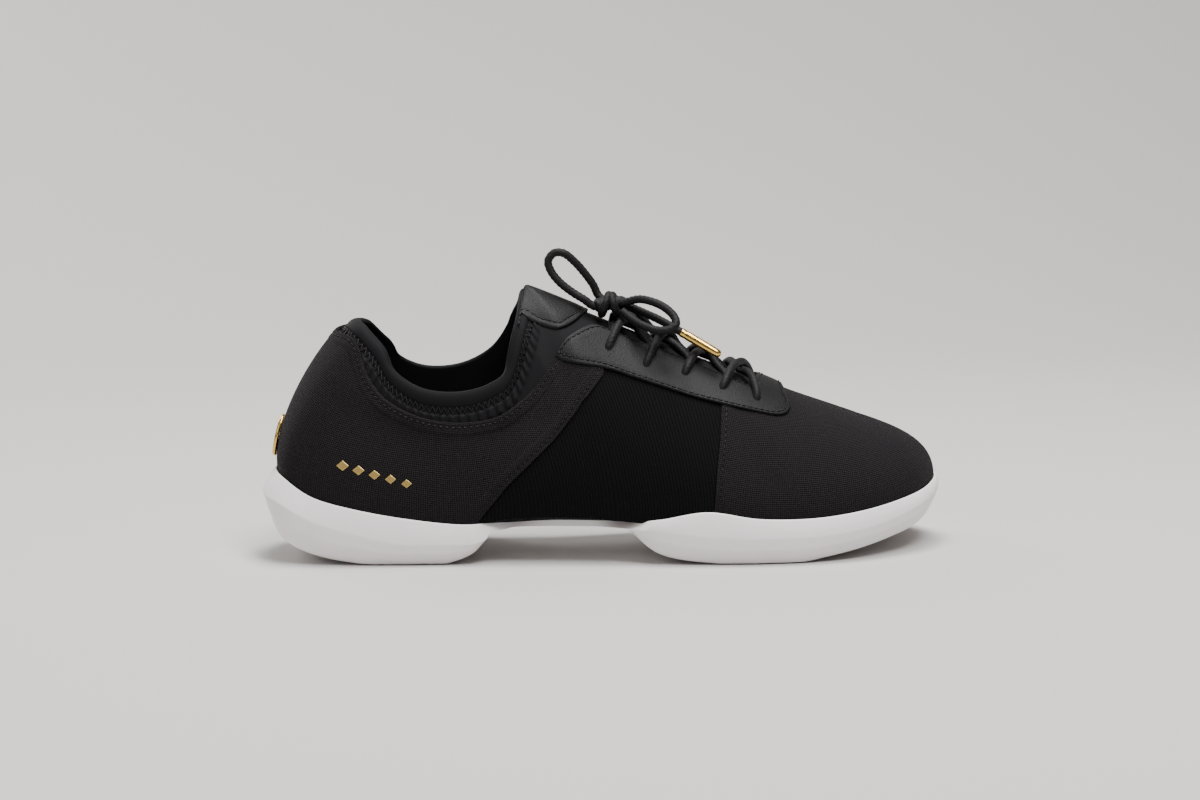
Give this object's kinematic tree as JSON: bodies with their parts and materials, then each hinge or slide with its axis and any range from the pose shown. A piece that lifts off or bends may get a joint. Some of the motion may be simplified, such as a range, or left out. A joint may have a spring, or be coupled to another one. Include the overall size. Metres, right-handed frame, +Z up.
{
  "type": "dance sneaker",
  "caption": "Low-cut lace-up dance sneaker, right foot: split foam sole, hollow canvas upper with elastic side panels, soft ankle collar with tongue, bow-tied lace.",
  "frame": {"origin": "bottom centre of the shoe's box, on the floor, measured without the bow", "axes": "+X from heel to toe, +Y towards the inner side of the foot, +Z up"},
  "size_m": [0.287, 0.1002, 0.1274],
  "materials": {
    "sole_foam": "matt moulded foam, off-white",
    "liner": "brushed knit",
    "canvas": "plain-woven canvas",
    "neoprene": "smooth jersey-faced neoprene",
    "leather": "soft matt",
    "lace": "round braid",
    "gold": "polished gold-coloured plating"
  },
  "bodies": {
    "root": {"sole": "sole_foam", "insole": "liner", "upper": "canvas", "collar_tongue": "neoprene", "eyestay": "leather", "tongue_patch": "leather", "heel_charm": "gold", "lace_cross_1": "lace", "lace_cross_2": "lace", "lace_cross_3": "lace", "lace_cross_4": "lace", "lace_bar_top": "lace", "lace_knot": "lace", "bow_loop_upright": "lace", "bow_loop_forward": "lace", "lace_end_outer": "lace", "lace_end_inner": "lace", "aglet_outer": "gold", "aglet_inner": "gold"}
  },
  "joints": []
}
